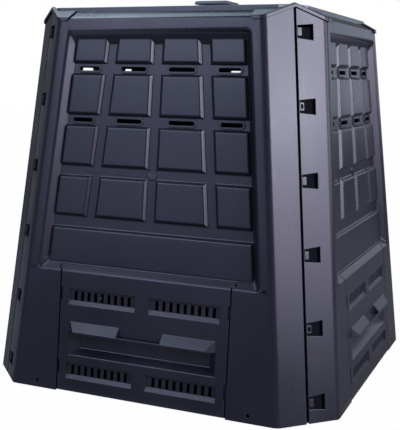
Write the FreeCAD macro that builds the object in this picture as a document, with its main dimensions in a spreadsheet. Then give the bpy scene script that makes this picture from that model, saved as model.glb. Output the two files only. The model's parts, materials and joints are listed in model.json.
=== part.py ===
import FreeCAD, Part
import Sketcher
import os
import re

# Compost bin with lid: four equal wall panels that snap together at chamfered corners,
# a louvred hatch in each panel, four corner caps, and a lid with a square grip.
# Millimetres, +Z up. The origin is the middle of the footprint, on the ground.
# The front panel faces -Y. The other panels are the same panel turned about Z.

doc = FreeCAD.newDocument("CompostBin")
sheet = doc.addObject("Spreadsheet::Sheet", "Sizes")
FUNCTIONS = ("sin", "cos", "tan", "atan", "sqrt")
next_row = [1]


def cell(alias, content, note=""):
    """Write one named value to the sheet: a plain number, or a formula that starts with =."""
    row = next_row[0]
    next_row[0] += 1
    sheet.set(f"A{row}", note or alias)
    sheet.set(f"B{row}", str(content))
    sheet.setAlias(f"B{row}", alias)
    return alias


def number(name):
    """The sheet's value for an alias, which may have a minus sign in front."""
    if name.startswith("-"):
        return -number(name[1:])
    value = sheet.get(name)
    return getattr(value, "Value", value)


def bound(text):
    """An expression over aliases, as other objects of the document read it."""
    def swap(match):
        word = match.group(0)
        return word if word in FUNCTIONS else "Sizes." + word
    return re.sub(r"[A-Za-z]+", swap, text)


# Driving dimensions

DRIVING = (
    ("bottomHalf", 391, "half width over the faces, on the ground"),
    ("topHalf", 316, "half width over the faces, at the top bend"),
    ("faceHeight", 765, "height of the top bend"),
    ("chamferLeg", 95, "leg of the corner chamfer along each face"),
    ("wall", 4, "wall thickness"),
    ("bite", 0.5, "how far forms of one piece reach into each other"),
    ("restGap", 0.3, "gap under a piece that rests on its stop or seat"),
    ("bendRadius", 22, "rounding of the upright bends"),
    ("topBendRadius", 7, "rounding of the bend under the shoulder"),
    ("shoulderSlope", 26, "slope of the shoulder in degrees"),
    ("crestInset", 28.5, "how far the mouth lies inside the top bend"),
    ("mouthChamfer", 48, "leg of the chamfer at the mouth's corners"),
    ("seatWidth", 20, "width of the inner flange that the lid sits on"),
    ("seamBefore", 3.5, "from the corner's diagonal to the plain wing"),
    ("seamAfter", 1.5, "from the corner's diagonal to the window wing"),
    ("recessMargin", 26.5, "border beside the recess"),
    ("recessBelow", 23.7, "from the recess up to the top bend"),
    ("ledgeFoot", 253, "bend where the ledge leaves the face, up the face"),
    ("ledgeRise", 14, "rise of the ledge as far as the band"),
    ("recessDepth", 19, "depth of the recess floor"),
    ("sideSlope", 14, "run of the recess's side walls"),
    ("topSlope", 25, "run of the recess's top wall"),
    ("recessCorner", 10, "rounding of the recess's corners"),
    ("padRaise", 7, "height of the pads over the recess floor"),
    ("padBevel", 5, "run of the pads' bevels"),
    ("rowGap", 29.5, "gap between the flats of two rows"),
    ("topRowHeight", 44.7, "height of the top row's flats, which run into the top wall"),
    ("padGap", 29, "gap between the flats of two columns"),
    ("outerPadWidth", 66.5, "width of an outer column's flat"),
    ("padSideGap", 3.5, "from the side wall's foot to the outer flats"),
    ("bandHeight", 86, "from the ledge's foot to the top of the raised band's flat"),
    ("bandGap", 32, "gap between the band's flat and the lowest row's flats"),
    ("slotHeight", 8, "height of a vent slot"),
    ("innerSlot", 56, "length of an inner vent slot"),
    ("outerSlot", 46, "length of an outer vent slot"),
    ("slotRim", 4.5, "width of the raised rim round a vent slot"),
    ("rimRaise", 2, "height of that rim"),
    ("gateDisc", 22, "diameter of the moulding gate's disc"),
    ("pegHole", 7, "diameter of the ground peg holes"),
    ("pegHoleHeight", 15, "peg holes, up the face"),
    ("pegHoleSide", 236, "peg holes, to the side"),
    ("windowCount", 6, "snap windows in a wing"),
    ("windowStart", 40, "middle of the lowest window, up the wing"),
    ("windowEnd", 25.8, "from the middle of the top window up to the top bend"),
    ("windowNear", 3, "edge of the window at the seam"),
    ("windowFar", 37, "far edge of the window"),
    ("windowShort", 23, "window's height at the seam"),
    ("windowLong", 30, "window's height at the far edge"),
    ("hookWidth", 16, "height of a snap hook"),
    ("hookReach", 13, "reach of a snap hook past the diagonal"),
    ("hookPlay", 0.8, "play of a snap hook in its window"),
    ("hookDepth", 1, "how deep the face of a snap hook lies"),
    ("hookHole", 4.5, "width of the slot in the second and fifth hooks"),
    ("hookHoleHeight", 9, "height of that slot"),
    ("lapReach", 42, "reach of the lap strip past the diagonal, behind the windows"),
    ("lapThick", 2.6, "thickness of the lap strip"),
    ("lapPlay", 3, "gap between the lap strip and the wing in front of it"),
    ("lapRoot", 14, "reach of the lap strip under its own wing"),
    ("lapEnd", 4, "from the lap strip's ends to the ground and to the seat"),
    ("hatchHalf", 187, "half width of the hatch's plate"),
    ("hatchFoot", 2.5, "foot of the hatch's plate, up the face"),
    ("hatchClearance", 3, "gap beside the hatch's plate"),
    ("tongueReach", 6, "reach of the hatch's tongues past its plate"),
    ("tongueThick", 3, "thickness of the tongues"),
    ("tongueClearance", 0.5, "play of the tongues, front and back"),
    ("railThick", 3, "thickness of the guide rails"),
    ("railGrip", 4.5, "how far the guide rails reach behind the tongues"),
    ("stopHeight", 3.2, "height of the stops under the tongues"),
    ("tongueRoot", 8, "reach of the tongues behind the hatch's plate"),
    ("railHead", 245, "top of the guide rails and tongues, up the face"),
    ("hatchTravel", 130, "how far a hatch slides up"),
    ("ledgePlay", 1, "gap between the sliding hatch and the pads"),
    ("notchDepth", 3.5, "depth of the notches in the hatch's edges"),
    ("notchHeight", 28, "height of those notches"),
    ("upperNotch", 192, "foot of the upper notches"),
    ("lowerNotch", 38, "foot of the lower notches"),
    ("louvreInner", 15, "inner end of a louvre group"),
    ("louvreWidth", 153, "width of a louvre group"),
    ("louvreHeight", 32, "height of a louvre group"),
    ("upperLouvre", 184, "foot of the upper louvres"),
    ("lowerLouvre", 29, "foot of the lower louvres"),
    ("louvreDepth", 5, "depth of a louvre group's floor"),
    ("louvreDraft", 2, "slope of a louvre group's ends"),
    ("louvreBar", 4, "bar over the louvre slots"),
    ("sillRise", 8, "rise of the louvres' sloped sill"),
    ("louvreCount", 9, "slots in a louvre group"),
    ("louvrePitch", 15.4, "pitch of the louvre slots"),
    ("louvreSlot", 7, "width of a louvre slot"),
    ("louvreStart", 31, "middle of the first louvre slot"),
    ("awningHead", 148.5, "top edge of the pull's awning"),
    ("awningHalf", 163, "half width of the awning at the face"),
    ("lipHalf", 148.5, "half width of the awning at its lip"),
    ("lipReach", 14, "how far the lip stands out"),
    ("lipFoot", 126, "foot of the lip"),
    ("lipHeight", 4.5, "height of the lip"),
    ("lipThick", 5, "thickness of the lip across the grip gap"),
    ("gripHalf", 48.5, "half width of the grip gap"),
    ("pullFoot", 79, "lower edge of the pull recess"),
    ("pullRise", 13, "rise of the pull recess's lower wall"),
    ("pullDepth", 17.5, "depth of the pull recess"),
    ("pullHalf", 164, "half width of the pull recess at the face"),
    ("pullSlope", 18, "run of the pull recess's end walls"),
    ("skin", 3, "wall of the louvre and pull recesses"),
    ("capThick", 3, "thickness of a corner cap"),
    ("capClearance", 0.3, "fit of a corner cap over the panels"),
    ("capSkirt", 3.5, "height of a corner cap's skirt"),
    ("capLength", 120, "from the corner of the top bends to the end of a cap's lugs"),
    ("lugRound", 8, "rounding of the lower corner of a cap's lugs"),
    ("lidClearance", 3, "gap round the lid in the mouth"),
    ("lidWall", 3.5, "wall of the lid"),
    ("lidRim", 24, "height of the lid's top edge over the top bend"),
    ("lidCrown", 14, "rise of the lid's middle over its edge"),
    ("lidFlatHalf", 62, "half width of the flat in the lid's middle"),
    ("gripNeckHalf", 26, "half width of the grip's neck"),
    ("gripTopHalf", 39, "half width of the grip's top"),
    ("gripGapHeight", 9, "finger gap under the grip"),
    ("gripTopThick", 8, "thickness of the grip's top"),
    ("gripBevel", 3, "bevel of the grip's top edge"),
    ("gripSpigot", 18, "half width of the grip's spigot in the lid"),
)
for alias, size, note in DRIVING:
    cell(alias, size, note)

# Values that follow from them

cell("lean", "=(bottomHalf - topHalf) / faceHeight")
cell("faceLean", "=atan(lean)")
cell("cornerReach", "=(2 * bottomHalf - chamferLeg) / sqrt(2)")
cell("cornerLean", "=atan(sqrt(2) * lean)")
cell("recessTop", "=faceHeight / cos(faceLean) - recessBelow")
cell("windowPitch",
     "=(faceHeight / cos(cornerLean) - windowStart - windowEnd) / (windowCount - 1)")
cell("innerBend", "=bendRadius - wall")
cell("mouthHalf", "=topHalf - crestInset")
cell("seatLevel", "=faceHeight - wall")
cell("stackTop", "=faceHeight + 3 * crestInset * tan(shoulderSlope)")
cell("padDepth", "=recessDepth - padRaise")
cell("padTaper", "=atan(padBevel / padRaise)")
cell("bandHead", "=ledgeFoot + bandHeight")
cell("padStart", "=bandHead + bandGap")
cell("padCeiling", "=recessTop - topSlope * padDepth / recessDepth")
cell("padPitch", "=(padCeiling - topRowHeight - padStart) / 3")
cell("padHeight", "=padPitch - rowGap")
cell("openingHalf", "=hatchHalf + hatchClearance")
cell("tongueHalf", "=hatchHalf + tongueReach")
cell("channelHalf", "=tongueHalf + hatchClearance - tongueClearance")
cell("tongueFront", "=wall + tongueClearance")
cell("tongueBack", "=tongueFront + tongueThick")
cell("railBack", "=tongueBack + tongueClearance + railThick")
cell("ledgeHead", "=ledgeFoot + ledgeRise")
cell("curtainFoot", "=lipFoot + skin + hatchTravel + hatchClearance")
cell("tongueFoot", "=hatchFoot + stopHeight + restGap")
cell("lapFront", "=wall + lapPlay")
cell("lapBack", "=lapFront + lapThick")
cell("lapHead", "=(seatLevel - 2 * wall) / cos(cornerLean) - lapEnd")
cell("louvreFar", "=louvreInner + louvreWidth")
cell("awningRise", "=(awningHead - lipFoot - lipHeight) / lipReach")
cell("pullEnd", "=pullHalf - pullSlope")
cell("slopedLedge", "=ledgeRise * recessDepth / padDepth")
cell("ledgeEdge", "=ledgeFoot + ledgeRise * (padDepth - ledgePlay) / padDepth")
cell("gripDepth", "=padDepth - ledgePlay - skin")
cell("capReach", "=topHalf - capLength")
cell("lugBend", "=capReach + lugRound")
cell("lugLevel", "=faceHeight - capSkirt - capThick * tan(shoulderSlope) + lugRound")
cell("lidEdge", "=faceHeight + lidRim")
cell("lidMiddle", "=lidEdge + lidCrown")
cell("lidHalf", "=mouthHalf - lidClearance")
cell("lidChamfer", "=mouthChamfer - lidClearance * (2 - sqrt(2))")
cell("lidFoot", "=seatLevel + restGap")

# The corners of one panel's quarter of the plan

cell("quarterFront", "=-bottomHalf * 2")
cell("quarterRightFront", "=-quarterFront - seamBefore * sqrt(2)")
cell("quarterLeftFront", "=quarterFront + seamAfter * sqrt(2)")
cell("quarterTip", "=-(seamBefore + seamAfter) / sqrt(2)")
cell("quarterTipSide", "=(seamAfter - seamBefore) / sqrt(2)")

# The recess's outlines: each an upright trapezoid that keeps a margin from the face's bends


def face_edge(height):
    return f"bottomHalf - chamferLeg - ({height}) * sin(faceLean)"


def recess_cells(name, low, high, margin):
    cell(name + "Low", f"={low}")
    cell(name + "High", f"={high}")
    cell(name + "Foot", f"={face_edge(low)} - ({margin})")
    cell(name + "Head", f"={face_edge(high)} - ({margin})")


recess_cells("CavityFace", "ledgeFoot", "recessTop", "recessMargin")
recess_cells("CavityFloor", "ledgeFoot + slopedLedge", "recessTop - topSlope",
             "recessMargin + sideSlope")
recess_cells("TrayFace", "ledgeFoot - wall / 2", "recessTop + wall / 2", "recessMargin - wall")
recess_cells("TrayBack", "ledgeFoot + slopedLedge - wall / 2", "recessTop - topSlope + wall",
             "recessMargin + sideSlope - wall")

# The pads' rows and the edges of their columns, and the band

ROWS = ("bottomRow", "lowerRow", "upperRow", "topRow")
for index, row in enumerate(ROWS):
    cell(row + "Low", f"=padStart + {index} * padPitch - padBevel")
    cell(row + "High", f"=padStart + {index} * padPitch + padHeight + padBevel")
cell("topRowEnd", "=padCeiling + padBevel + 2 * bite")
cell("bandLow", "=ledgeFoot + slopedLedge - 2 * padBevel")
cell("bandHigh", "=bandHead + padBevel")
cell("innerPadStart", "=padGap / 2 - padBevel")


def flat_edge(height):
    return f"{face_edge(height)} - recessMargin - sideSlope - padSideGap"


for end in [row + side for row in ROWS for side in ("Low", "High")] + ["topRowEnd"]:
    cell(end + "Outer", f"={flat_edge(end)} + padBevel")
    cell(end + "Break", f"={flat_edge(end)} - outerPadWidth - padBevel")
    cell(end + "Inner", f"={flat_edge(end)} - outerPadWidth - padGap + padBevel")
cell("bandLowSide", f"={flat_edge('bandLow')} + padBevel")
cell("bandHighSide", f"={flat_edge('bandHigh')} + padBevel")
VENT_LINES = (("lowVents", "lowerRow", "upperRow"), ("highVents", "upperRow", "topRow"))
for line, below, above in VENT_LINES:
    cell(line, f"=({below}High + {above}Low) / 2")
    cell(line + "Outer", f"={flat_edge(line)} - outerPadWidth / 2")
    cell(line + "Inner", f"=({flat_edge(line)} - outerPadWidth - padGap / 2) / 2")
cell("gateHeight", "=(lowerRowLow + bottomRowHigh) / 2")
doc.recompute()


# Frames: X along the piece, Y into the wall, Z up its slope

def tilted(turn, reach, slope):
    spin = FreeCAD.Placement(FreeCAD.Vector(), FreeCAD.Rotation(FreeCAD.Vector(0, 0, 1), turn))
    tip = FreeCAD.Rotation(FreeCAD.Vector(1, 0, 0), -slope)
    return spin * FreeCAD.Placement(FreeCAD.Vector(0, -reach, 0), tip)


UPRIGHT = FreeCAD.Placement()
FACE = tilted(0, number("bottomHalf"), number("faceLean"))
LEFT_CORNER = tilted(-45, number("cornerReach"), number("cornerLean"))
RIGHT_CORNER = tilted(45, number("cornerReach"), number("cornerLean"))
STAND_UP = FreeCAD.Placement(FreeCAD.Vector(), FreeCAD.Rotation(FreeCAD.Vector(1, 0, 0), 90))
SIDEWAYS = FreeCAD.Placement(FreeCAD.Vector(), FreeCAD.Rotation(FreeCAD.Vector(0, 0, 1), -90))
TURN_DIAGONAL = FreeCAD.Placement(FreeCAD.Vector(), FreeCAD.Rotation(FreeCAD.Vector(0, 0, 1), 45))


# Building blocks

def wedge(name, frame, near, far, x_near, z_near, x_far=None, z_far=None):
    """A block whose ends at Y = near and Y = far are rectangles of their own size."""
    solid = doc.addObject("Part::Wedge", name)
    x_far = x_far or x_near
    z_far = z_far or z_near
    ends = (
        ("Ymin", near), ("Ymax", far),
        ("Xmin", x_near[0]), ("Xmax", x_near[1]), ("Zmin", z_near[0]), ("Zmax", z_near[1]),
        ("X2min", x_far[0]), ("X2max", x_far[1]), ("Z2min", z_far[0]), ("Z2max", z_far[1]),
    )
    for corner, text in ends:
        solid.setExpression(corner, bound(text))
    solid.Placement = frame
    return solid


def across(sign, near, far):
    """A span beside the panel's middle: sign is empty on the right and - on the left."""
    span = (f"{sign}({near})", f"{sign}({far})")
    return span if not sign else (span[1], span[0])


def frustum(name, low, high, half_low, half_high, diagonal=False):
    """A square block from Z = low to Z = high, turned by 45 degrees where it cuts corners."""
    frame = TURN_DIAGONAL * STAND_UP if diagonal else STAND_UP
    span_low = (f"-({half_low})", half_low)
    span_high = (f"-({half_high})", half_high)
    return wedge(name, frame, low, high, span_low, span_low, span_high, span_high)


def cut(name, base, tool):
    result = doc.addObject("Part::Cut", name)
    result.Base = base
    result.Tool = tool
    return result


def fuse(name, pieces):
    result = doc.addObject("Part::MultiFuse", name)
    result.Shapes = pieces
    result.Refine = True
    return result


def common(name, pieces):
    result = doc.addObject("Part::MultiCommon", name)
    result.Shapes = pieces
    return result


def rounded(name, solid, radius, wanted):
    """Round the edges for which wanted(edge) is true."""
    doc.recompute()
    result = doc.addObject("Part::Fillet", name)
    result.Base = solid
    size = number(radius)
    edges = solid.Shape.Edges
    result.Edges = [(i + 1, size, size) for i, edge in enumerate(edges) if wanted(edge)]
    return result


def outline(name, frame, depth, loops):
    """A sketch on a plane of the frame, its corners held by aliases of the sheet."""
    sketch = doc.addObject("Sketcher::SketchObject", name)
    lay = FreeCAD.Placement(FreeCAD.Vector(0, depth, 0), FreeCAD.Rotation(FreeCAD.Vector(1, 0, 0), 90))
    sketch.Placement = frame * lay
    for loop in loops:
        first = sketch.GeometryCount
        corners = [FreeCAD.Vector(number(x), number(y), 0) for x, y in loop]
        count = len(loop)
        for i in range(count):
            sketch.addGeometry(Part.LineSegment(corners[i], corners[(i + 1) % count]), False)
        for i in range(count):
            follower = first + (i + 1) % count
            sketch.addConstraint(Sketcher.Constraint("Coincident", first + i, 2, follower, 1))
            for kind, text, start in (("DistanceX", loop[i][0], corners[i].x),
                                      ("DistanceY", loop[i][1], corners[i].y)):
                held = sketch.addConstraint(Sketcher.Constraint(kind, -1, 1, first + i, 1, start))
                sketch.setExpression(f"Constraints[{held}]", bound(text))
    return sketch


def raised(name, sketch, height, taper=None):
    """Extrude a sketch out of its plane, with sides that slope inwards by the taper."""
    result = doc.addObject("Part::Extrusion", name)
    result.Base = sketch
    result.DirMode = "Normal"
    result.Solid = True
    result.setExpression("LengthFwd", bound(height))
    if taper:
        result.setExpression("TaperAngle", bound(f"-{taper}"))
    return result


def loft(name, sketches):
    result = doc.addObject("Part::Loft", name)
    result.Sections = sketches
    result.Solid = True
    result.Ruled = True
    return result


def rod(name, frame, x, z, diameter, near, far):
    """A round bar along Y of the frame, from depth near to depth far."""
    result = doc.addObject("Part::Cylinder", name)
    result.setExpression("Radius", bound(f"({diameter}) / 2"))
    result.Height = far - near
    lay = FreeCAD.Rotation(FreeCAD.Vector(1, 0, 0), -90)
    result.Placement = frame * FreeCAD.Placement(FreeCAD.Vector(x, near, z), lay)
    return result


# The bin's outline: a leaning square with chamfered corners under a sloped shoulder

def rises(edge):
    low, high = sorted(vertex.Z for vertex in edge.Vertexes)
    return high - low > number("faceHeight") / 2


def bends(edge):
    heights = [vertex.Z for vertex in edge.Vertexes]
    reach = number("chamferLeg")
    return len(heights) == 2 and all(abs(z - number("faceHeight")) < reach / 4 for z in heights)


def stack(name, inset, foot, bend=None, top_bend=None):
    """The outline, moved inwards by inset. A negative inset moves it outwards."""
    drop = f"({foot}) * lean"
    rise = "stackTop * lean"
    side = f"bottomHalf - ({inset}) / cos(faceLean)"
    diagonal = f"cornerReach - ({inset}) / cos(cornerLean)"
    walls = frustum(name + "Walls", foot, "stackTop", f"{side} - {drop}", f"{side} - {rise}")
    corners = frustum(name + "Corners", foot, "stackTop", f"{diagonal} - sqrt(2) * {drop}",
                      f"{diagonal} - sqrt(2) * {rise}", diagonal=True)
    body = common(name + "Body", [walls, corners])
    if bend:
        body = rounded(name + "Bends", body, bend, rises)
    level = f"(faceHeight - ({inset}) / cos(shoulderSlope))"
    roof = frustum(name + "Roof", foot, "stackTop",
                   f"topHalf + ({level} - ({foot})) / tan(shoulderSlope)",
                   f"topHalf + ({level} - stackTop) / tan(shoulderSlope)")
    shape = common(name, [body, roof])
    if top_bend:
        shape = rounded(name + "Rounded", shape, top_bend, bends)
    return shape


def upright(name, low, high, half, leg):
    """A square column with chamfered corners."""
    square = frustum(name + "Square", low, high, half, half)
    reach = f"(2 * ({half}) - ({leg})) / sqrt(2)"
    diagonal = frustum(name + "Diagonal", low, high, reach, reach, diagonal=True)
    return common(name, [square, diagonal])


outer = stack("Outer", "0", "0", "bendRadius", "topBendRadius")
inner = stack("Inner", "wall", "-wall", "innerBend")
mouth = upright("Mouth", "faceHeight", "stackTop + wall", "mouthHalf", "mouthChamfer")
seat_solid = stack("SeatBlank", "wall / 2", "0")
seat_slab = frustum("SeatSlab", "seatLevel - wall", "seatLevel", "bottomHalf", "bottomHalf")
seat_hole = upright("SeatHole", "seatLevel - 2 * wall", "seatLevel + wall",
                    "mouthHalf - seatWidth", "mouthChamfer")
hollow = cut("Hollow", outer, inner)
shell = cut("Shell", hollow, mouth)
seat = cut("Seat", common("SeatRing", [seat_solid, seat_slab]), seat_hole)
ring = fuse("Ring", [shell, seat])

# One quarter of it, between the diagonals of the corners

quarter_loop = (
    ("quarterLeftFront", "quarterFront"),
    ("quarterRightFront", "quarterFront"),
    ("quarterTipSide", "quarterTip"),
)
GROUND = FreeCAD.Placement(FreeCAD.Vector(), FreeCAD.Rotation(FreeCAD.Vector(1, 0, 0), -90))
quarter_sketch = outline("QuarterSketch", GROUND, 0, [quarter_loop])
quarter = raised("Quarter", quarter_sketch, "stackTop")
blank = common("PanelBlank", [ring, quarter])

# The recess: a cavity with sloped walls, and the tray behind it

def trapezoid(name):
    """The four corners of an upright outline whose cells share a name."""
    low, high, foot, head = (name + end for end in ("Low", "High", "Foot", "Head"))
    return (("-" + foot, low), (foot, low), (head, high), ("-" + head, high))


cavity_blank = loft("CavityBlank", [
    outline("CavityFaceSketch", FACE, 0, [trapezoid("CavityFace")]),
    outline("CavityFloorSketch", FACE, number("recessDepth"), [trapezoid("CavityFloor")]),
])
tray = loft("Tray", [
    outline("TrayFaceSketch", FACE, number("wall") / 2, [trapezoid("TrayFace")]),
    outline("TrayBackSketch", FACE, number("recessDepth") + number("wall"),
            [trapezoid("TrayBack")]),
])


def goes_deep(edge):
    into = FACE.Rotation.multVec(FreeCAD.Vector(0, 1, 0))
    ends = [vertex.Point.dot(into) for vertex in edge.Vertexes]
    return abs(ends[0] - ends[1]) > number("recessDepth") / 2


cavity = rounded("Cavity", cavity_blank, "recessCorner", goes_deep)

# Raised pads in four rows and four columns, and the band under them

def pad_loops(low, high):
    """Four base outlines of one row, both halves of the panel."""
    outlines = []
    for near_low, far_low, near_high, far_high in (
            (low + "Break", low + "Outer", high + "Break", high + "Outer"),
            ("innerPadStart", low + "Inner", "innerPadStart", high + "Inner")):
        outlines.append(((near_low, low), (far_low, low), (far_high, high), (near_high, high)))
        outlines.append((("-" + far_low, low), ("-" + near_low, low),
                         ("-" + near_high, high), ("-" + far_high, high)))
    return outlines


loops = []
for row in ROWS[:3]:
    loops += pad_loops(row + "Low", row + "High")
loops += pad_loops("topRowLow", "topRowEnd")
loops.append((("-bandLowSide", "bandLow"), ("bandLowSide", "bandLow"),
              ("bandHighSide", "bandHigh"), ("-bandHighSide", "bandHigh")))
pad_sketch = outline("PadSketch", FACE, number("recessDepth"), loops)
pads = raised("Pads", pad_sketch, "padRaise", "padTaper")

# Vent slots between the upper rows, each with a raised rim

def stadium(name, length, height, near, far, x, z):
    """A bar with round ends, lying along X, from depth near to depth far."""
    reach = (number(length) - number("slotHeight")) / 2
    ends = [rod(f"{name}End{side}", FACE, x + side * reach, z, height, near, far)
            for side in (-1, 1)]
    middle = wedge(name + "Middle", FACE, f"{near:.3f}", f"{far:.3f}",
                   (f"{x - reach:.4f}", f"{x + reach:.4f}"),
                   (f"{z:.4f} - ({height}) / 2", f"{z:.4f} + ({height}) / 2"))
    return fuse(name, [ends[0], middle, ends[1]])


rims = []
vents = []
floor = number("recessDepth")
rim_front = floor - number("rimRaise")
rim_back = floor + number("bite")
vent_back = floor + 3 * number("wall")
for line, below, above in VENT_LINES:
    for sign, side in ((1, "Right"), (-1, "Left")):
        for length, end in (("outerSlot", "Outer"), ("innerSlot", "Inner")):
            tag = line + end + side
            x = sign * number(line + end)
            z = number(line)
            rims.append(stadium(tag + "Rim", length, "slotHeight + 2 * slotRim",
                                rim_front, rim_back, x, z))
            vents.append(stadium(tag + "Vent", length, "slotHeight",
                                 rim_front - number("rimRaise"), vent_back, x, z))
gate = rod("GateDisc", FACE, 0, number("gateHeight"), "gateDisc",
           floor - number("rimRaise") / 2, rim_back)

# The opening for the hatch, with the guide rails at its sides

far_back = "3 * recessDepth"
opening_cuts = [
    wedge("OpeningFront", FACE, "-wall", far_back, ("-openingHalf", "openingHalf"),
          ("-wall", "ledgeFoot")),
    wedge("OpeningBack", FACE, "wall", far_back, ("-channelHalf", "channelHalf"),
          ("-wall", "curtainFoot")),
    wedge("OpeningLedge", FACE, "-wall", "wall", ("-openingHalf", "openingHalf"),
          ("ledgeFoot", "ledgeHead")),
    wedge("OpeningChannel", FACE, "wall", "padDepth", ("-channelHalf", "channelHalf"),
          ("ledgeFoot", "ledgeHead + hatchClearance / 2")),
]
rails = []
HALVES = (("", "Right"), ("-", "Left"))
for sign, side in HALVES:
    upright_span = ("hatchFoot", "railHead")
    rails.append(wedge("RailWeb" + side, FACE, "wall - bite", "railBack",
                       across(sign, "channelHalf", "channelHalf + railThick"), upright_span))
    grip_span = across(sign, "tongueHalf - railGrip", "channelHalf + railThick")
    rails.append(wedge("RailLip" + side, FACE, "railBack - railThick", "railBack", grip_span,
                       upright_span))
    rails.append(wedge("RailStop" + side, FACE, "wall", "railBack", grip_span,
                       ("hatchFoot", "hatchFoot + stopHeight")))
pegs = [rod("PegHole" + side, FACE, sign * number("pegHoleSide"), number("pegHoleHeight"),
            "pegHole", -number("wall"), 3 * number("wall"))
        for sign, side in ((1, "Right"), (-1, "Left"))]

# Snap windows in the left wing, snap hooks and their lap strip on the right wing

windows = []
hooks = []
hook_holes = []
for index in range(int(number("windowCount"))):
    middle = f"windowStart + {index} * windowPitch"
    tall_near = (f"{middle} - windowShort / 2", f"{middle} + windowShort / 2")
    tall_far = (f"{middle} - windowLong / 2", f"{middle} + windowLong / 2")
    windows.append(wedge(f"Window{index}", LEFT_CORNER * SIDEWAYS, "windowNear", "windowFar",
                         ("-3 * wall", "wall"), tall_near, ("-3 * wall", "wall"), tall_far))
    span = (f"{middle} - hookWidth / 2", f"{middle} + hookWidth / 2")
    hooks.append(wedge(f"HookArm{index}", RIGHT_CORNER, "lapFront", "lapBack",
                       ("0", "hookReach"), span))
    hooks.append(wedge(f"HookNose{index}", RIGHT_CORNER, "hookDepth", "lapBack",
                       ("windowNear + hookPlay", "hookReach"), span))
    if index % 3 == 1:
        place = number("windowStart") + index * number("windowPitch")
        across_hook = (number("windowNear") + number("hookPlay") + number("hookReach")) / 2
        reach = (number("hookHoleHeight") - number("hookHole")) / 2
        for end in (-1, 1):
            hook_holes.append(rod(f"HookHole{index}End{end}", RIGHT_CORNER, across_hook,
                                  place + end * reach, "hookHole", 0, number("lapFront")))
        hook_holes.append(wedge(f"HookHole{index}Middle", RIGHT_CORNER, "0", "lapFront",
                                (f"{across_hook:.4f} - hookHole / 2",
                                 f"{across_hook:.4f} + hookHole / 2"),
                                (f"{place - reach:.4f}", f"{place + reach:.4f}")))
lap_span = ("lapEnd", "lapHead")
hooks.append(wedge("LapStrip", RIGHT_CORNER, "lapFront", "lapBack", ("-lapRoot", "lapReach"),
                   lap_span))
hooks.append(wedge("LapRoot", RIGHT_CORNER, "wall - bite", "lapBack",
                   ("-lapRoot", "-seamBefore - bite"), lap_span))

panel_cuts = fuse("PanelCuts", vents + pegs + windows + hook_holes)
panel_body = fuse("PanelBody", [blank, tray])
panel_sunk = cut("PanelSunk", panel_body, cavity)
panel_padded = fuse("PanelPadded", [panel_sunk, pads, gate] + rims)
panel_open = cut("PanelOpen", panel_padded, fuse("OpeningCuts", opening_cuts))
panel_railed = fuse("PanelRailed", [panel_open] + rails + hooks)
panel = cut("Panel", panel_railed, panel_cuts)

# The hatch: a plate with tongues, its part of the ledge, louvres and the pull

plate = wedge("HatchPlate", FACE, "0", "wall", ("-hatchHalf", "hatchHalf"),
              ("hatchFoot", "ledgeFoot"))


def ledge_slab(name, half):
    """The sloped slab that continues the panel's ledge over the hatch."""
    return wedge(name, FACE, "0", "padDepth - ledgePlay", (f"-{half}", half),
                 ("ledgeFoot - bite", "ledgeFoot"), z_far=("ledgeEdge - wall", "ledgeEdge"))


hatch_ledge = ledge_slab("HatchLedge", "hatchHalf")
behind_lip = wedge("BehindLip", FACE, "tongueFront", "2 * padDepth",
                   ("-bottomHalf", "bottomHalf"), ("0", "faceHeight"))
ledge_ends = common("HatchLedgeEnds", [ledge_slab("WideLedge", "tongueHalf"), behind_lip])
ledge_root = wedge("HatchLedgeRoot", FACE, "0", "wall + bite", ("-hatchHalf", "hatchHalf"),
                   ("ledgeFoot - 2 * wall", "ledgeFoot"),
                   z_far=("ledgeFoot - 2 * wall", "ledgeFoot + wall"))
hatch_pieces = [plate, hatch_ledge, ledge_ends, ledge_root]
for sign, side in HALVES:
    span = ("tongueFoot", "railHead")
    hatch_pieces.append(wedge("TongueRoot" + side, FACE, "wall - bite", "tongueBack",
                              across(sign, "hatchHalf - tongueRoot", "hatchHalf"), span))
    hatch_pieces.append(wedge("Tongue" + side, FACE, "tongueFront", "tongueBack",
                              across(sign, "hatchHalf - tongueRoot", "tongueHalf"), span))


def louvre_group(level, sign, side):
    """A shallow pocket with a sloped sill and a row of slots, in a box behind the plate."""
    tag = level + side
    hatch_pieces.append(wedge(tag + "Box", FACE, "wall - bite", "louvreDepth + skin",
                              across(sign, "louvreInner - skin", "louvreFar + skin"),
                              (f"{level} + sillRise / 2 - skin",
                               f"{level} + louvreHeight + skin")))
    cuts = [wedge(tag + "Pocket", FACE, "0", "louvreDepth",
                  across(sign, "louvreInner", "louvreFar"),
                  (level, f"{level} + louvreHeight"),
                  across(sign, "louvreInner + louvreDraft", "louvreFar - louvreDraft"),
                  (f"{level} + sillRise", f"{level} + louvreHeight - louvreDraft / 2"))]
    slot_span = (f"{level} + sillRise + louvreDraft / 2",
                 f"{level} + louvreHeight - louvreBar")
    for index in range(int(number("louvreCount"))):
        middle = f"louvreStart + {index} * louvrePitch"
        cuts.append(wedge(f"{tag}Slot{index}", FACE, "louvreDepth - bite",
                          "louvreDepth + 2 * skin",
                          across(sign, f"{middle} - louvreSlot / 2", f"{middle} + louvreSlot / 2"),
                          slot_span))
    return cuts


louvre_cuts = []
for level in ("upperLouvre", "lowerLouvre"):
    for sign, side in HALVES:
        louvre_cuts += louvre_group(level, sign, side)

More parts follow.
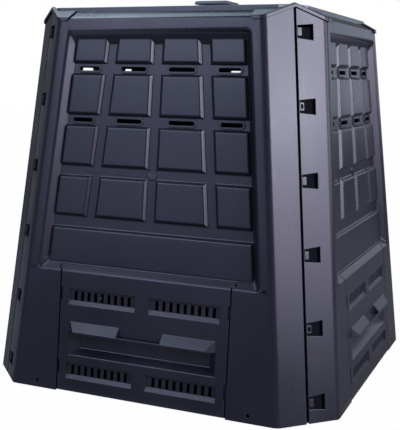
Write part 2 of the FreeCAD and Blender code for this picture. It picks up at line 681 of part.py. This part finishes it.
awning = wedge("Awning", FACE, "-lipReach", "bite", ("-lipHalf", "lipHalf"),
               ("lipFoot", "lipFoot + lipHeight"), ("-awningHalf", "awningHalf"),
               ("lipFoot", "awningHead + awningRise * bite"))
grip_gap = wedge("GripGap", FACE, "lipThick - lipReach", "0", ("-gripHalf", "gripHalf"),
                 ("lipFoot - wall", "awningHead + wall"))
grip_top = wedge("GripTop", FACE, "-lipReach - wall", "0", ("-gripHalf", "gripHalf"),
                 ("lipFoot + lipHeight", "awningHead + wall"))
grip_hollow = wedge("GripHollow", FACE, "-bite", "gripDepth", ("-gripHalf", "gripHalf"),
                    ("lipFoot - bite", "lipFoot + lipHeight"))
hatch_pieces.append(cut("AwningCut", awning, fuse("GripCuts", [grip_gap, grip_top])))
hatch_pieces.append(wedge("GripBox", FACE, "wall - bite", "gripDepth + skin",
                          ("-(gripHalf + skin)", "gripHalf + skin"),
                          ("lipFoot", "lipFoot + lipHeight + skin")))
hatch_pieces.append(wedge("PullBox", FACE, "wall - bite", "pullDepth + skin",
                          ("-pullHalf - skin", "pullHalf + skin"),
                          ("pullFoot - skin", "lipFoot + skin"),
                          ("-(pullEnd + skin)", "pullEnd + skin"),
                          ("pullFoot + pullRise - skin", "lipFoot + skin")))
pull_pocket = wedge("PullPocket", FACE, "0", "pullDepth", ("-pullHalf", "pullHalf"),
                    ("pullFoot", "lipFoot"), ("-pullEnd", "pullEnd"),
                    ("pullFoot + pullRise", "lipFoot"))
notches = []
for level in ("upperNotch", "lowerNotch"):
    for sign, side in HALVES:
        notches.append(wedge(level + side, FACE, "-bite", "wall",
                             across(sign, "hatchHalf - notchDepth", "hatchHalf + bite"),
                             (level, f"{level} + notchHeight")))
hatch_solid = fuse("HatchSolid", hatch_pieces)
hatch_cuts = fuse("HatchCuts", louvre_cuts + [pull_pocket, grip_hollow] + notches)
hatch = cut("Hatch", hatch_solid, hatch_cuts)

# The corner cap: a thin shell over the corner of the shoulder, with a short skirt

cap_outer = stack("CapOuter", "-capThick - capClearance", "0", "bendRadius")
cap_inner = stack("CapInner", "-capClearance", "-wall", "bendRadius")
cap_shell = cut("CapShell", cap_outer, cap_inner)
skirt_level = "(faceHeight - capSkirt)"
below_skirt = frustum("BelowSkirt", "-wall", "stackTop + wall",
                      f"topHalf + ({skirt_level} + wall) / tan(shoulderSlope)",
                      f"topHalf + ({skirt_level} - stackTop - wall) / tan(shoulderSlope)")
cap_corner = wedge("CapCorner", UPRIGHT, "-2 * bottomHalf", "-capReach",
                   ("capReach", "2 * bottomHalf"), ("0", "2 * faceHeight"))
cap_mouth = upright("CapMouth", "0", "stackTop + wall", "mouthHalf", "mouthChamfer")
cap_blank = common("CapBlank", [cap_shell, cap_corner])
lug_rounds = []
for turn, sign, side in ((0, "", "Front"), (90, "-", "Side")):
    frame = tilted(turn, 0, 0)
    block = wedge(f"Lug{side}Block", frame, "-2 * bottomHalf", "0",
                  across(sign, "capReach - bite", "lugBend"),
                  ("lugLevel - 2 * lugRound", "lugLevel"))
    bar = rod(f"Lug{side}Bar", frame, number(sign + "lugBend"), number("lugLevel"),
              "2 * lugRound", -2 * number("bottomHalf"), 0)
    lug_rounds.append(cut(f"Lug{side}Round", block, bar))
cap_cuts = fuse("CapCuts", [below_skirt, cap_mouth] + lug_rounds)
cap = cut("Cap", cap_blank, cap_cuts)

# The lid: a shallow pyramid with a rim that drops into the mouth

def lid_form(name, inset, foot, edge, middle):
    half = f"lidHalf - ({inset})"
    leg = f"lidChamfer - ({inset}) * (2 - sqrt(2))"
    rim = upright(name + "Rim", foot, edge, half, leg)
    roof = frustum(name + "Roof", edge, middle, half, "lidFlatHalf")
    trim = upright(name + "Trim", foot, middle, half, leg)
    return fuse(name, [rim, common(name + "Pyramid", [roof, trim])])


lid_outer = lid_form("LidOuter", "0", "lidFoot", "lidEdge", "lidMiddle")
lid_inner = lid_form("LidInner", "lidWall", "lidFoot - bite", "lidEdge - lidWall",
                     "lidMiddle - lidWall")
lid_hole = frustum("LidHole", "lidEdge - 2 * lidWall", "lidMiddle + lidWall",
                   "gripSpigot + capClearance", "gripSpigot + capClearance")
lid = cut("LidSolid", cut("LidShell", lid_outer, lid_inner), lid_hole)

# The grip in the middle of the lid

grip_neck = frustum("GripNeck", "lidMiddle", "lidMiddle + gripGapHeight", "gripNeckHalf",
                    "gripNeckHalf")
grip_plate = frustum("GripPlate", "lidMiddle + gripGapHeight",
                     "lidMiddle + gripGapHeight + gripTopThick - gripBevel",
                     "gripTopHalf", "gripTopHalf")
grip_crown = frustum("GripCrown", "lidMiddle + gripGapHeight + gripTopThick - gripBevel",
                     "lidMiddle + gripGapHeight + gripTopThick", "gripTopHalf",
                     "gripTopHalf - gripBevel")
grip_spigot = frustum("GripSpigot", "lidMiddle - 3 * lidWall", "lidMiddle", "gripSpigot",
                      "gripSpigot")
grip = fuse("Grip", [grip_neck, grip_plate, grip_crown, grip_spigot])
doc.recompute()


# The pieces, each turned to its own side

def placed(label, solid, turn):
    piece = doc.addObject("Part::Compound", label)
    piece.Label = label
    piece.Links = [solid]
    piece.Placement = FreeCAD.Placement(FreeCAD.Vector(),
                                        FreeCAD.Rotation(FreeCAD.Vector(0, 0, 1), turn))
    return piece


SIDES = (("front", 0), ("right", 90), ("back", 180), ("left", 270))
CORNERS = (("front_right", 0), ("back_right", 90), ("back_left", 180), ("front_left", 270))
pieces = []
for side, turn in SIDES:
    pieces.append(placed(f"{side}_panel", panel, turn))
    pieces.append(placed(f"{side}_hatch", hatch, turn))
for corner, turn in CORNERS:
    pieces.append(placed(f"corner_cap_{corner}", cap, turn))
pieces.append(placed("lid", lid, 0))
pieces.append(placed("lid_handle", grip, 0))
doc.recompute()

for item in doc.Objects:
    if "Invalid" in item.State or "Error" in item.State:
        raise RuntimeError(f"{item.Name} failed: {item.State}")
for piece in pieces:
    if piece.Shape.isNull() or not piece.Shape.isValid():
        raise RuntimeError(f"{piece.Label} has no valid shape")
    if len(piece.Shape.Solids) != 1:
        raise RuntimeError(f"{piece.Label} is {len(piece.Shape.Solids)} solids")

os.makedirs("parts", exist_ok=True)
for piece in pieces:
    piece.Shape.exportStep(f"parts/{piece.Label}.step")
    box = piece.Shape.BoundBox
    print(piece.Label, round(piece.Shape.Volume), [round(v, 1) for v in
          (box.XMin, box.YMin, box.ZMin, box.XMax, box.YMax, box.ZMax)])
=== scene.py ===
import json
import math

import bmesh
import bpy
from mathutils import Matrix, Vector, noise

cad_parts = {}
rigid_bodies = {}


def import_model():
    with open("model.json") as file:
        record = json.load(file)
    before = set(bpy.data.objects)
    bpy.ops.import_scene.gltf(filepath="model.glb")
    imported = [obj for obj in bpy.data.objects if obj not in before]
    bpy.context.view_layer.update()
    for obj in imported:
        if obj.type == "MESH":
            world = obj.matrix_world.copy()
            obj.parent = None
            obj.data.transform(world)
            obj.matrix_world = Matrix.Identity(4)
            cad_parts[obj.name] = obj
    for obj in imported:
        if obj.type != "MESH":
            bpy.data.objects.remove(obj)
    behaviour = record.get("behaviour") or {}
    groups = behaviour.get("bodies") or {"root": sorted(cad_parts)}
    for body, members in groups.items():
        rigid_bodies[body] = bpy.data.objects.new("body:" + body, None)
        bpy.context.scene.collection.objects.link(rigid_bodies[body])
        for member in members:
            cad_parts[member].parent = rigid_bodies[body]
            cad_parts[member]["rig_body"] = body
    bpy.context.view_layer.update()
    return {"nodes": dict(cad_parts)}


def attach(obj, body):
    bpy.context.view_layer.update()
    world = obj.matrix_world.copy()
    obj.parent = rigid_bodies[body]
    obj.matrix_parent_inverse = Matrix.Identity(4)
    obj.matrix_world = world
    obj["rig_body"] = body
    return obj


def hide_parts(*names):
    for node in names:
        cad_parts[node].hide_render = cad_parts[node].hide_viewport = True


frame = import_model()
NODES = frame["nodes"]

# Compost bin in satin anthracite plastic: four snapped wall panels, sliding hatches,
# corner caps and a lift-off lid. Metres, in the same frame as the solids.

SIDES = (("front", 0), ("right", 90), ("back", 180), ("left", 270))
CORNERS = ("front_right", "back_right", "back_left", "front_left")


def placed_object(name, data):
    """A new object of the scene, which sits at the origin until it is moved."""
    thing = bpy.data.objects.new(name, data)
    bpy.context.scene.collection.objects.link(thing)
    return thing


# Camera at the photograph's viewpoint

CAMERA_PLACE = Vector((0.76746, -1.89803, 0.65127))
VIEW_AZIMUTH = math.radians(22.8807)
VIEW_ELEVATION = math.radians(8.91)
VIEW_ROLL = math.radians(0.9572)
LENS_MM = 73.67


def photograph_camera():
    level = math.cos(VIEW_ELEVATION)
    ahead = Vector((-math.sin(VIEW_AZIMUTH) * level, math.cos(VIEW_AZIMUTH) * level,
                    -math.sin(VIEW_ELEVATION)))
    right = ahead.cross(Vector((0, 0, 1))).normalized()
    up = right.cross(ahead)
    rolled_right = math.cos(VIEW_ROLL) * right + math.sin(VIEW_ROLL) * up
    rolled_up = math.cos(VIEW_ROLL) * up - math.sin(VIEW_ROLL) * right
    data = bpy.data.cameras.new("photograph_view")
    data.lens = LENS_MM
    camera = placed_object("photograph_view", data)
    axes = Matrix((rolled_right, rolled_up, -ahead)).transposed().to_4x4()
    camera.matrix_world = Matrix.Translation(CAMERA_PLACE) @ axes
    bpy.context.scene.camera = camera


photograph_camera()
bpy.context.scene.view_settings.view_transform = "Standard"


# Node helpers and the effects that more than one material uses

def joined(tree, source, target):
    tree.links.new(source, target)


def placed_node(tree, kind, settings=None, values=None):
    """A new node with its settings and its unlinked input values."""
    node = tree.nodes.new(kind)
    for name, setting in (settings or {}).items():
        setattr(node, name, setting)
    for name, value in (values or {}).items():
        node.inputs[name].default_value = value
    return node


def new_material(name):
    """A new material with its node tree and its Principled shader."""
    material = bpy.data.materials.new(name)
    material.use_nodes = True
    tree = material.node_tree
    return material, tree, tree.nodes["Principled BSDF"]


def own_place(tree):
    return tree.nodes.new("ShaderNodeTexCoord").outputs["Object"]


def bumped(tree, shader, height, strength, distance):
    """The shader's normal follows a height, whose whole range is a distance in metres."""
    bump = placed_node(tree, "ShaderNodeBump",
                       values={"Strength": strength, "Distance": distance})
    joined(tree, height, bump.inputs["Height"])
    joined(tree, bump.outputs["Normal"], shader.inputs["Normal"])


def mixed_shaders(tree, share, first, second):
    mix = tree.nodes.new("ShaderNodeMixShader")
    joined(tree, share, mix.inputs[0])
    joined(tree, first.outputs[0], mix.inputs[1])
    joined(tree, second.outputs[0], mix.inputs[2])
    return mix.outputs[0]


def effect_group(name, inputs, outputs):
    """A new node group: inputs are (label, kind, usual value), outputs (label, kind)."""
    group = bpy.data.node_groups.new(name, "ShaderNodeTree")
    for label, kind, usual in inputs:
        socket = group.interface.new_socket(label, in_out="INPUT", socket_type=kind)
        socket.default_value = usual
    for label, kind in outputs:
        group.interface.new_socket(label, in_out="OUTPUT", socket_type=kind)
    return group, group.nodes.new("NodeGroupInput"), group.nodes.new("NodeGroupOutput")


def spread_noise(tree, point, stretch, scale, detail, low, high):
    """Noise on the piece's own coordinates, stretched per axis and spread to 0...1."""
    mapping = placed_node(tree, "ShaderNodeMapping", values={"Scale": stretch})
    joined(tree, point, mapping.inputs["Vector"])
    cloud = placed_node(tree, "ShaderNodeTexNoise", values={"Scale": scale, "Detail": detail})
    joined(tree, mapping.outputs["Vector"], cloud.inputs["Vector"])
    spread = placed_node(tree, "ShaderNodeMapRange", values={"From Min": low, "From Max": high})
    joined(tree, cloud.outputs["Fac"], spread.inputs["Value"])
    return spread.outputs["Result"]


def colour_mix(tree, share, low, high):
    mix = placed_node(tree, "ShaderNodeMix", {"data_type": "RGBA"})
    for source, target in ((share, mix.inputs[0]), (low, mix.inputs[6]), (high, mix.inputs[7])):
        if isinstance(source, (int, float, tuple)):
            target.default_value = source
        else:
            joined(tree, source, target)
    return mix.outputs[2]


def arithmetic(tree, kind, first, second):
    node = placed_node(tree, "ShaderNodeMath", {"operation": kind})
    for source, target in ((first, node.inputs[0]), (second, node.inputs[1])):
        if isinstance(source, (int, float)):
            target.default_value = source
        else:
            joined(tree, source, target)
    return node.outputs[0]


STREAK_ROUGHNESS = 0.03
CLOUD_ROUGHNESS = 0.05
GRAIN_STRENGTH = 0.12
GRAIN_HEIGHT = 0.0003


def moulded_finish():
    """Injection-moulded plastic: cloudy bloom, flow streaks, fine grain, and a painted highlight
    that makes the edges lighter.
    """
    group, entry, leave = effect_group(
        "moulded_finish",
        [("Colour", "NodeSocketColor", (0.02, 0.02, 0.02, 1)),
         ("Bloom", "NodeSocketColor", (0.05, 0.05, 0.06, 1)),
         ("Bloom share", "NodeSocketFloat", 0.3),
         ("Edge highlight", "NodeSocketColor", (0.1, 0.1, 0.12, 1)),
         ("Roughness", "NodeSocketFloat", 0.35)],
        [("Colour", "NodeSocketColor"), ("Roughness", "NodeSocketFloat"),
         ("Height", "NodeSocketFloat")])
    place = own_place(group)
    clouds = spread_noise(group, place, (1, 1, 0.6), 5.0, 5.0, 0.38, 0.66)
    streaks = spread_noise(group, place, (22, 22, 3), 1.0, 3.0, 0.3, 0.7)
    grain = spread_noise(group, place, (1, 1, 1), 850.0, 2.0, 0.2, 0.8)
    bloom_share = arithmetic(group, "MULTIPLY", clouds, entry.outputs["Bloom share"])
    bloomed = colour_mix(group, bloom_share, entry.outputs["Colour"], entry.outputs["Bloom"])
    # Painted highlight: edges, found by their pointiness, are painted lighter towards the edge
    # highlight colour.
    curve = group.nodes.new("ShaderNodeNewGeometry").outputs["Pointiness"]
    edges = placed_node(group, "ShaderNodeMapRange",
                        values={"From Min": 0.53, "From Max": 0.62, "To Max": 0.7})
    joined(group, curve, edges.inputs["Value"])
    highlighted = colour_mix(group, edges.outputs["Result"], bloomed, entry.outputs["Edge highlight"])
    joined(group, highlighted, leave.inputs["Colour"])
    streaked = arithmetic(group, "MULTIPLY", streaks, STREAK_ROUGHNESS)
    clouded = arithmetic(group, "MULTIPLY", clouds, CLOUD_ROUGHNESS)
    uneven = arithmetic(group, "ADD", streaked, clouded)
    rough = arithmetic(group, "ADD", entry.outputs["Roughness"], uneven)
    joined(group, rough, leave.inputs["Roughness"])
    joined(group, grain, leave.inputs["Height"])
    return group


MOULDED_FINISH = moulded_finish()


def plastic(name, colour, bloom, bloom_share, edge_highlight, roughness, specular=0.5):
    """Moulded plastic. The bloom is the paler film that lies over its colour in clouds, and the
    edge highlight is a lighter colour painted on its edges.
    """
    material, tree, shader = new_material(name)
    shader.inputs["Specular IOR Level"].default_value = specular
    finish = placed_node(tree, "ShaderNodeGroup", {"node_tree": MOULDED_FINISH},
                         {"Colour": (*colour, 1), "Bloom": (*bloom, 1),
                          "Bloom share": bloom_share, "Edge highlight": (*edge_highlight, 1),
                          "Roughness": roughness})
    joined(tree, finish.outputs["Colour"], shader.inputs["Base Color"])
    joined(tree, finish.outputs["Roughness"], shader.inputs["Roughness"])
    bumped(tree, shader, finish.outputs["Height"], GRAIN_STRENGTH, GRAIN_HEIGHT)
    return material


# The fourth colour of each plastic is the painted highlight on its edges.
ANTHRACITE = plastic("anthracite", (0.013, 0.014, 0.022), (0.03, 0.032, 0.044), 0.4,
                     (0.09, 0.09, 0.11), 0.25)
LID_ANTHRACITE = plastic("lid_anthracite", (0.04, 0.056, 0.066), (0.07, 0.088, 0.1), 0.5,
                         (0.12, 0.14, 0.15), 0.3, 0.8)
# Painted shade: a near-black, rough colour for the insides behind the snap windows, where shade
# falls.
PAINTED_SHADE_INSIDE = plastic("painted_shade_inside", (0.005, 0.005, 0.008), (0.009, 0.009, 0.013), 0.5,
                        (0.012, 0.012, 0.016), 0.75, 0.1)


# World, lamps and floor

SKY_COLOUR = (0.62, 0.66, 0.80)
SKY_STRENGTH = 0.16
FLOOR_GLOW = 0.99
GLOSSY_SHARE = 0.05
LAMP_AIM = Vector((0, 0, 0.45))
LAMP_DISTANCE = 3.2
LAMP_WIDTH = 1.4
LAMP_HEIGHT = 1.1
FLOOR_REACH = 12
FLOOR_PAINT = ((0.13, 0.13, 0.135, 1), (0.15, 0.15, 0.15, 1))


def seen_as_background(tree):
    """The share of a ray that meets the plain white background: whole for the camera's own
    rays and those through glass, and small for reflections, which else turn the bin pale."""
    rays = tree.nodes.new("ShaderNodeLightPath")
    direct = arithmetic(tree, "MAXIMUM", rays.outputs["Is Camera Ray"],
                        rays.outputs["Is Transmission Ray"])
    reflected = arithmetic(tree, "MULTIPLY", rays.outputs["Is Glossy Ray"], GLOSSY_SHARE)
    return arithmetic(tree, "MAXIMUM", direct, reflected)


def studio_world():
    world = bpy.data.worlds.new("studio")
    bpy.context.scene.world = world
    world.use_nodes = True
    tree = world.node_tree
    tree.nodes.clear()
    out = tree.nodes.new("ShaderNodeOutputWorld")
    sky = placed_node(tree, "ShaderNodeBackground",
                      values={"Color": (*SKY_COLOUR, 1), "Strength": SKY_STRENGTH})
    white = placed_node(tree, "ShaderNodeBackground", values={"Color": (1, 1, 1, 1)})
    both = mixed_shaders(tree, seen_as_background(tree), sky, white)
    joined(tree, both, out.inputs["Surface"])


def softbox(name, azimuth, elevation, power, colour):
    """An area lamp that faces the bin, with its place in degrees and its power in watts.
    Azimuth 0 is in front of the bin and 90 on its right."""
    data = bpy.data.lights.new(name, "AREA")
    data.shape = "RECTANGLE"
    data.size = LAMP_WIDTH
    data.size_y = LAMP_HEIGHT
    data.energy = power
    data.color = colour
    lamp = placed_object(name, data)
    round_bin = math.radians(azimuth)
    rise = math.radians(elevation)
    toward = Vector((math.sin(round_bin) * math.cos(rise), -math.cos(round_bin) * math.cos(rise),
                     math.sin(rise)))
    lamp.location = LAMP_AIM + toward * LAMP_DISTANCE
    lamp.rotation_euler = (-toward).to_track_quat("-Z", "Y").to_euler()


# The softboxes' places, powers and tints follow the shading in the photograph. Much of
# the bin's blue comes from them.

studio_world()
softbox("right_softbox", 69, 19, 53, (0.8, 0.8, 1.0))
softbox("low_right_softbox", 70, 5, 24, (0.8, 0.75, 1.0))
softbox("side_softbox", 108, 12, 16, (1.0, 0.92, 0.98))
softbox("front_softbox", -23, 25, 21, (0.64, 0.7, 1.0))
softbox("low_front_softbox", -23, 6, 6, (0.58, 0.62, 1.0))
softbox("high_left_softbox", -40, 46, 14, (0.68, 0.75, 1.0))
softbox("left_shoulder_softbox", -105, 55, 42, (0.68, 0.82, 1.0))
softbox("back_softbox", -150, 44, 12, (0.65, 0.83, 1.0))
softbox("low_back_softbox", -157, 14, 8, (0.65, 0.83, 1.0))
softbox("rear_right_softbox", 157, 12, 3.4, (0.7, 0.82, 1.0))


def pale_floor():
    mesh = bpy.data.meshes.new("floor")
    form = bmesh.new()
    bmesh.ops.create_grid(form, x_segments=1, y_segments=1, size=FLOOR_REACH)
    form.to_mesh(mesh)
    form.free()
    floor = placed_object("floor", mesh)
    mesh.materials.append(floor_paint())


def floor_paint():
    """Grey in the light that it throws back on the bin, and almost wholly white to the
    camera, so that hardly any shadow of the bin shows on it."""
    material, tree, shader = new_material("floor_paint")
    shader.inputs["Roughness"].default_value = 0.9
    clouds = spread_noise(tree, own_place(tree), (1, 1, 1), 2.5, 4.0, 0.3, 0.7)
    joined(tree, colour_mix(tree, clouds, *FLOOR_PAINT), shader.inputs["Base Color"])
    glow = placed_node(tree, "ShaderNodeEmission", values={"Strength": 1.0})
    share = arithmetic(tree, "MULTIPLY", seen_as_background(tree), FLOOR_GLOW)
    both = mixed_shaders(tree, share, shader, glow)
    joined(tree, both, tree.nodes["Material Output"].inputs["Surface"])
    return material


pale_floor()


# Terms of the leaning walls, in millimetres as in the solids

FACE_FOOT = 391.0
FACE_HEAD = 316.0
FACE_HEIGHT = 765.0
CHAMFER_LEG = 95.0
FACE_LEAN = math.atan((FACE_FOOT - FACE_HEAD) / FACE_HEIGHT)
CORNER_FOOT = (2 * FACE_FOOT - CHAMFER_LEG) / math.sqrt(2)
CORNER_LEAN = math.atan(math.sqrt(2) * (FACE_FOOT - FACE_HEAD) / FACE_HEIGHT)
WINDOW_COUNT = 6
WINDOW_START = 40.0
WINDOW_END = 25.8
WINDOW_SPAN = FACE_HEIGHT / math.cos(CORNER_LEAN) - WINDOW_START - WINDOW_END
WINDOW_PITCH = WINDOW_SPAN / (WINDOW_COUNT - 1)


def leaning_terms(point, turn, foot, lean):
    """A point beside a leaning plane's middle, up its slope and into its wall."""
    x, y, z = Matrix.Rotation(-turn, 3, "Z") @ point * 1000
    up = (y + foot) * math.sin(lean) + z * math.cos(lean)
    into = (y + foot) * math.cos(lean) - z * math.sin(lean)
    return x, up, into


def on_face(point, turn):
    return leaning_terms(point, turn, FACE_FOOT, FACE_LEAN)


def on_wing(point, turn, hand):
    """The same on a corner wing: hand is 1 for the right wing and -1 for the left."""
    return leaning_terms(point, turn + hand * math.radians(45), CORNER_FOOT, CORNER_LEAN)


# Soil heaped on the ground inside the bin, which has no floor of its own. It keeps the
# white floor out of the louvres and isn't a piece of the bin.

SOIL_INSET = 5.0
SOIL_HEIGHT = 0.085
SOIL_SLOPE = 0.03
SOIL_LIFT = 0.001
SOIL_SEGMENTS = 48
SOIL_LUMPS = ((28, 0.3), (90, 0.15))
SOIL_COLOURS = ((0.006, 0.005, 0.004, 1), (0.024, 0.017, 0.011, 1))


def dark_soil():
    mesh = bpy.data.meshes.new("soil")
    form = bmesh.new()
    half = (FACE_FOOT - SOIL_INSET) / 1000
    corner = (CORNER_FOOT - SOIL_INSET) / 1000
    bmesh.ops.create_grid(form, x_segments=SOIL_SEGMENTS, y_segments=SOIL_SEGMENTS, size=half)
    for x, y in ((1, 1), (-1, 1), (-1, -1), (1, -1)):
        outward = Vector((x, y, 0)).normalized()
        bmesh.ops.bisect_plane(form, geom=form.verts[:] + form.edges[:] + form.faces[:],
                               plane_co=outward * corner, plane_no=outward, clear_outer=True)
    for vert in form.verts:
        x, y = abs(vert.co.x), abs(vert.co.y)
        inside = min(half - x, half - y, corner - (x + y) / math.sqrt(2))
        heap = min(1.0, max(0.0, inside / SOIL_SLOPE))
        lumps = sum(share * noise.noise(vert.co * fine) for fine, share in SOIL_LUMPS)
        vert.co.z = SOIL_LIFT + SOIL_HEIGHT * math.sqrt(heap) * (0.8 + lumps)
    form.to_mesh(mesh)
    form.free()
    mesh.shade_smooth()
    soil = placed_object("soil", mesh)
    mesh.materials.append(soil_material())


def soil_material():
    material, tree, shader = new_material("dark_soil")
    shader.inputs["Roughness"].default_value = 0.95
    shader.inputs["Specular IOR Level"].default_value = 0.1
    crumbs = spread_noise(tree, own_place(tree), (1, 1, 1), 120.0, 6.0, 0.35, 0.65)
    joined(tree, colour_mix(tree, crumbs, *SOIL_COLOURS), shader.inputs["Base Color"])
    bumped(tree, shader, crumbs, 0.8, 0.004)
    return material


dark_soil()


# How wide each kind of edge is rounded, in millimetres

WIDEST_EDGE = 5.0
RECESS_RIM_EDGE = 5.0
LEDGE_BEND_EDGE = 2.5
PAD_EDGE = 2.1
RECESS_FLOOR_EDGE = 1.8
WINDOW_SILL_EDGE = 1.5
PULL_EDGE = 1.5
LID_EDGE = 1.5
CAP_EDGE = 1.1
LIP_EDGE = 1.0
HATCH_EDGE = 0.8
LEDGE_CREASE_EDGE = 0.75
PLAIN_EDGE = 0.6
LOUVRE_EDGE = 0.4

# Where those edges lie: depths into the wall, and bounds that part one form from the next

NEAR_PLANE = 0.6
PAD_DEPTH = 12.0
RECESS_DEPTH = 19.0
PULL_DEPTH = 17.5
LOUVRE_DEPTH = 5.0
LEDGE_FOOT = 253.0
ABOVE_LEDGE = 275.0
ABOVE_LEDGE_FLOOR = 280.0
OVER_RECESS = 746.0
BESIDE_RECESS = 276.0
VENT_LEVELS = (565.2, 669.7)
VENT_REACH = 17.0
WINDOW_SIDES = (2.0, 38.0)
WINDOW_SILL = 8.0
PULL_LEVELS = (70.0, 124.0)
BESIDE_PULL = 170.0
LOUVRE_SIDES = (12.0, 176.0)
OVER_LOWER_LOUVRES = 64.0
UNDER_UPPER_LOUVRES = 180.0


def lies_on(depth, plane):
    return abs(depth - plane) < NEAR_PLANE


def between(value, bounds):
    return bounds[0] < value < bounds[1]


def on_ledge_bend(up):
    return abs(up - LEDGE_FOOT) < 1


def panel_edge(point, turn):
    x, up, into = on_face(point, turn)
    beside, level, depth = on_wing(point, turn, -1)
    if lies_on(depth, 0) and between(beside, WINDOW_SIDES):
        row_middle = WINDOW_START + WINDOW_PITCH * round((level - WINDOW_START) / WINDOW_PITCH)
        return WINDOW_SILL_EDGE if level < row_middle - WINDOW_SILL else PLAIN_EDGE
    near_vent = min(abs(up - vent) for vent in VENT_LEVELS) < VENT_REACH
    if lies_on(into, 0) and abs(x) < BESIDE_RECESS and on_ledge_bend(up):
        return LEDGE_BEND_EDGE
    if lies_on(into, 0) and abs(x) < BESIDE_RECESS and LEDGE_FOOT < up < OVER_RECESS:
        return RECESS_RIM_EDGE
    if lies_on(into, PAD_DEPTH):
        return PAD_EDGE if up > ABOVE_LEDGE else LEDGE_CREASE_EDGE
    if lies_on(into, RECESS_DEPTH) and not near_vent and up > ABOVE_LEDGE_FLOOR:
        return RECESS_FLOOR_EDGE
    return PLAIN_EDGE


def in_louvre(x, up, into):
    level = up < OVER_LOWER_LOUVRES or up > UNDER_UPPER_LOUVRES
    sunk = NEAR_PLANE < into < LOUVRE_DEPTH + NEAR_PLANE
    return level and sunk and between(abs(x), LOUVRE_SIDES)


def hatch_edge(point, turn):
    x, up, into = on_face(point, turn)
    if into < -NEAR_PLANE:
        return LIP_EDGE
    if lies_on(into, 0) and on_ledge_bend(up):
        return LEDGE_BEND_EDGE
    if lies_on(into, 0) and between(up, PULL_LEVELS) and abs(x) < BESIDE_PULL:
        return PULL_EDGE
    if lies_on(into, PULL_DEPTH):
        return PULL_EDGE
    return LOUVRE_EDGE if in_louvre(x, up, into) else HATCH_EDGE


def cap_edge(point, turn):
    return CAP_EDGE


def lid_edge(point, turn):
    return LID_EDGE


# Which faces get painted shade: the insides that show through the snap windows, painted near black
# in place of their shade

SEAM_SIDE = -3.4
BEHIND_HOOKS = 1.5


def behind_window(point, turn):
    beside, level, depth = on_wing(point, turn, 1)
    return beside > SEAM_SIDE and depth > BEHIND_HOOKS


def never(point, turn):
    return False


# Each visible piece: the solid's own form, its flat faces joined and its edges rounded

MERGE_WITHIN = 2e-6
FLAT_WITHIN = math.radians(0.4)
SHARP_FROM = math.radians(24)
EDGE_SEGMENTS = 3


def rounded_form(node, levels, rounding, turn, finishes, painted_shade_faces=never):
    """The node's form in whole faces, split at the given levels, with each edge's rounding, and
    with painted shade on the faces that the last argument picks.
    """
    source = NODES[node]
    form = bmesh.new()
    form.from_mesh(source.data)
    bmesh.ops.remove_doubles(form, verts=form.verts, dist=MERGE_WITHIN)
    for place, normal in levels:
        parts = form.verts[:] + form.edges[:] + form.faces[:]
        halves = bmesh.ops.bisect_plane(form, geom=parts, dist=1e-6, plane_co=place,
                                        plane_no=normal)
        for part in halves["geom_cut"]:
            if isinstance(part, bmesh.types.BMEdge):
                part.seam = True
    bmesh.ops.dissolve_limit(form, angle_limit=FLAT_WITHIN, use_dissolve_boundaries=False,
                             verts=form.verts, edges=form.edges, delimit={"SEAM"})
    width = form.edges.layers.float.new("bevel_weight_edge")
    for edge in form.edges:
        edge.seam = False
        if len(edge.link_faces) == 2 and edge.calc_face_angle(0.0) > SHARP_FROM:
            middle = (edge.verts[0].co + edge.verts[1].co) / 2
            edge[width] = rounding(middle, turn) / WIDEST_EDGE
    for face in form.faces:
        # Faces that the last argument picks take the second finish, the painted shade.
        face.material_index = 1 if painted_shade_faces(face.calc_center_median(), turn) else 0
    mesh = bpy.data.meshes.new(node + "_form")
    for finish in finishes:
        mesh.materials.append(finish)
    form.to_mesh(mesh)
    form.free()
    piece = placed_object(node + "_moulding", mesh)
    mesh.shade_smooth()
    bevel = piece.modifiers.new("soft_edges", "BEVEL")
    bevel.limit_method = "WEIGHT"
    bevel.width = WIDEST_EDGE / 1000
    bevel.segments = EDGE_SEGMENTS
    bevel.profile = 0.5
    bevel.use_clamp_overlap = False
    even = piece.modifiers.new("even_faces", "WEIGHTED_NORMAL")
    even.weight = 100
    even.keep_sharp = True
    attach(piece, source["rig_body"])
    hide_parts(node)
    return piece


def at_heights(heights):
    """Level planes at heights in millimetres, where a form's flat faces are split."""
    return [((0, 0, height / 1000), (0, 0, 1)) for height in heights]


PANEL_LEVELS = at_heights((14.7, 39, 179, 247, 291, 319, 405, 459, 509, 560.8, 599, 613, 664.8, 702,
                           739))
HATCH_LEVELS = at_heights((47, 110, 129, 138, 201.5))
MIDDLE_CUTS = [((0, 0, 0), (1, 0, 0)), ((0, 0, 0), (0, 1, 0))]

for side, degrees in SIDES:
    turn = math.radians(degrees)
    panel = rounded_form(side + "_panel", PANEL_LEVELS, panel_edge, turn,
                         [ANTHRACITE, PAINTED_SHADE_INSIDE], behind_window)
    hatch = rounded_form(side + "_hatch", HATCH_LEVELS, hatch_edge, turn, [ANTHRACITE])
for corner in CORNERS:
    cap = rounded_form("corner_cap_" + corner, [], cap_edge, 0.0, [ANTHRACITE])
for node in ("lid", "lid_handle"):
    piece = rounded_form(node, MIDDLE_CUTS, lid_edge, 0.0, [LID_ANTHRACITE])
